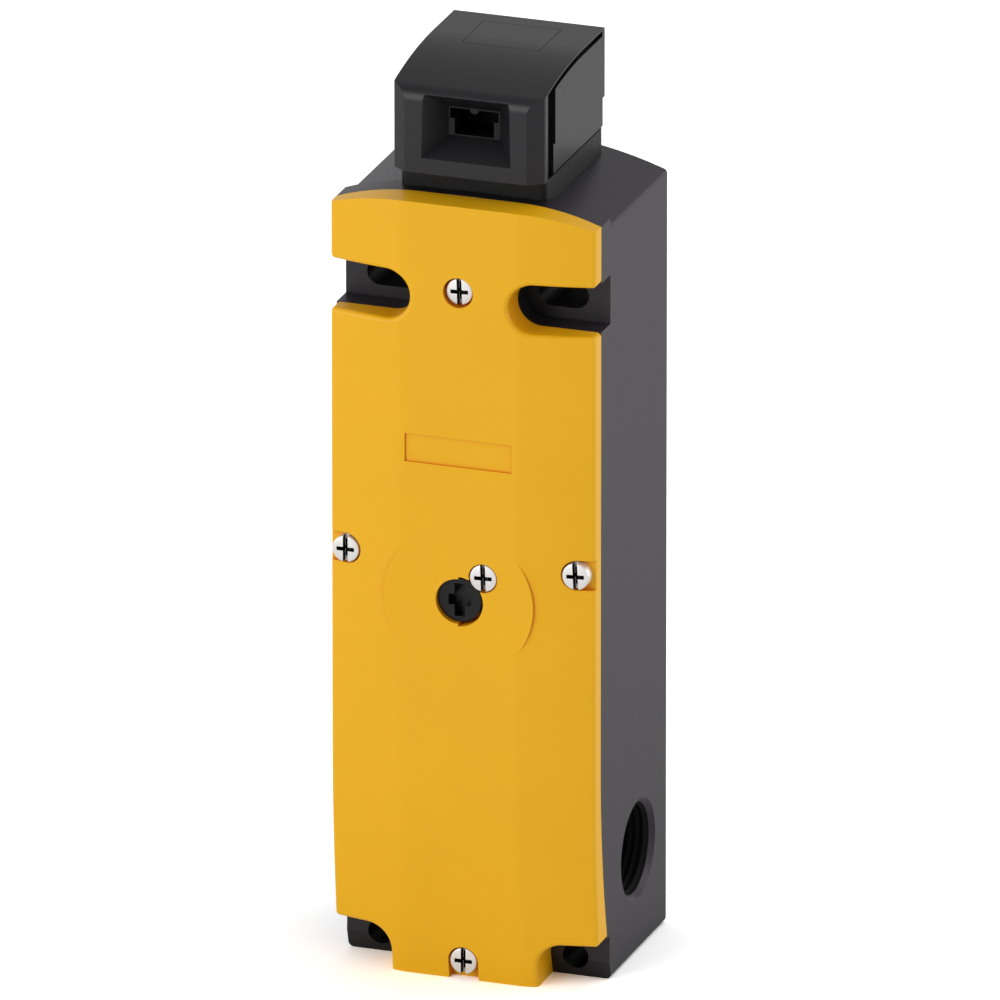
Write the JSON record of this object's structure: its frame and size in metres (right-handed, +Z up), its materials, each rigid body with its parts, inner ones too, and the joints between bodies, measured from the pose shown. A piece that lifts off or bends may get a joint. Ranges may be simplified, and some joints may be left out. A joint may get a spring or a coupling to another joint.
{
  "type": "tongue interlock switch",
  "caption": "Slim safety switch with a turnable tongue-operated head, guard locking by a solenoid, a tool-operated release and a screwed front cover.",
  "frame": {"origin": "centre of the bounding box's bottom face, under the middle of the housing's base", "axes": "+Z up along the switch towards its head, -Y out of the front cover, +Y into the mounting surface"},
  "size_m": [0.054, 0.0456, 0.1848],
  "materials": {
    "housing_plastic": "moulded dark grey glass-filled thermoplastic, fine satin grain",
    "cover_plastic": "moulded signal-yellow thermoplastic, satin",
    "head_plastic": "moulded black glass-filled thermoplastic, satin",
    "release_plastic": "moulded black thermoplastic",
    "screw_steel": "bright nickel-plated steel",
    "zinc_steel": "zinc-plated steel",
    "rubber": "moulded nitrile rubber",
    "rotor_metal": "sintered steel",
    "copper": "enamelled copper wire",
    "contact_brass": "brass with silver contacts",
    "inner_plastic": "natural moulded thermoplastic",
    "slider_plastic": "red moulded thermoplastic"
  },
  "bodies": {
    "switch_body": {"housing": "housing_plastic", "front_cover": "cover_plastic", "cover_gasket": "rubber", "cover_screws": "screw_steel", "sealing_screw": "screw_steel", "head_base": "head_plastic", "push_spring": "zinc_steel", "lock_spring": "zinc_steel", "solenoid_yoke": "zinc_steel", "pole_core": "zinc_steel", "coil_bobbin": "inner_plastic", "coil_winding": "copper", "yoke_screws": "zinc_steel", "guard_contact_block": "inner_plastic", "lock_contact_block": "inner_plastic", "terminal_screws": "zinc_steel", "block_screws": "zinc_steel", "earth_plate": "contact_brass", "earth_screw": "zinc_steel"},
    "switch_head": {"head_body": "head_plastic", "head_hood": "head_plastic", "head_top_cap": "head_plastic", "tongue_slot_plate": "head_plastic", "head_seal": "rubber", "head_retaining_ring": "zinc_steel", "rotor_axle": "zinc_steel"},
    "rotor": {"rotor_wheel": "rotor_metal"},
    "fork": {"push_fork": "slider_plastic"},
    "guard_train": {"push_sleeve": "slider_plastic", "transfer_slider": "slider_plastic", "guard_plunger": "slider_plastic", "guard_contact_bridge": "contact_brass"},
    "lock_train": {"lock_pin": "zinc_steel", "armature": "zinc_steel", "lock_rod": "zinc_steel", "lock_collar": "inner_plastic", "lock_plunger": "inner_plastic", "lock_contact_bridge": "contact_brass"},
    "release": {"release_disc": "release_plastic", "release_seal": "rubber", "release_cam": "release_plastic"}
  },
  "joints": [
    {"name": "head_turn", "type": "hinge", "parent": "switch_body", "child": "switch_head", "pos_m": [0, 0.0004, 0.1646], "axis": [0, 0, 1], "range_deg": [-180, 180]},
    {"name": "rotor_turn", "type": "hinge", "parent": "switch_head", "child": "rotor", "pos_m": [0, 0.0004, 0.1733], "axis": [-1, 0, 0], "range_deg": [0, 55], "stiffness_Nm_per_rad": 0.02, "springref_deg": -17.19},
    {"name": "fork_slide", "type": "slide", "parent": "switch_head", "child": "fork", "axis": [0, 0, -1], "range_m": [0, 0.00303]},
    {"name": "guard_slide", "type": "slide", "parent": "switch_body", "child": "guard_train", "axis": [0, 0, -1], "range_m": [0, 0.00303], "deforming": ["push_spring"]},
    {"name": "lock_slide", "type": "slide", "parent": "switch_body", "child": "lock_train", "axis": [0, 0, 1], "range_m": [0, 0.0046], "stiffness_N_per_m": 120, "springref_m": -0.01, "deforming": ["lock_spring"]},
    {"name": "release_turn", "type": "hinge", "parent": "switch_body", "child": "release", "pos_m": [0, -0.0172, 0.0794], "axis": [0, 1, 0], "range_deg": [0, 90]}
  ],
  "couplings": [
    {"joint": "fork_slide", "follows": "rotor_turn", "m_per_rad": 0.0031252},
    {"joint": "guard_slide", "follows": "rotor_turn", "m_per_rad": 0.0031252}
  ]
}
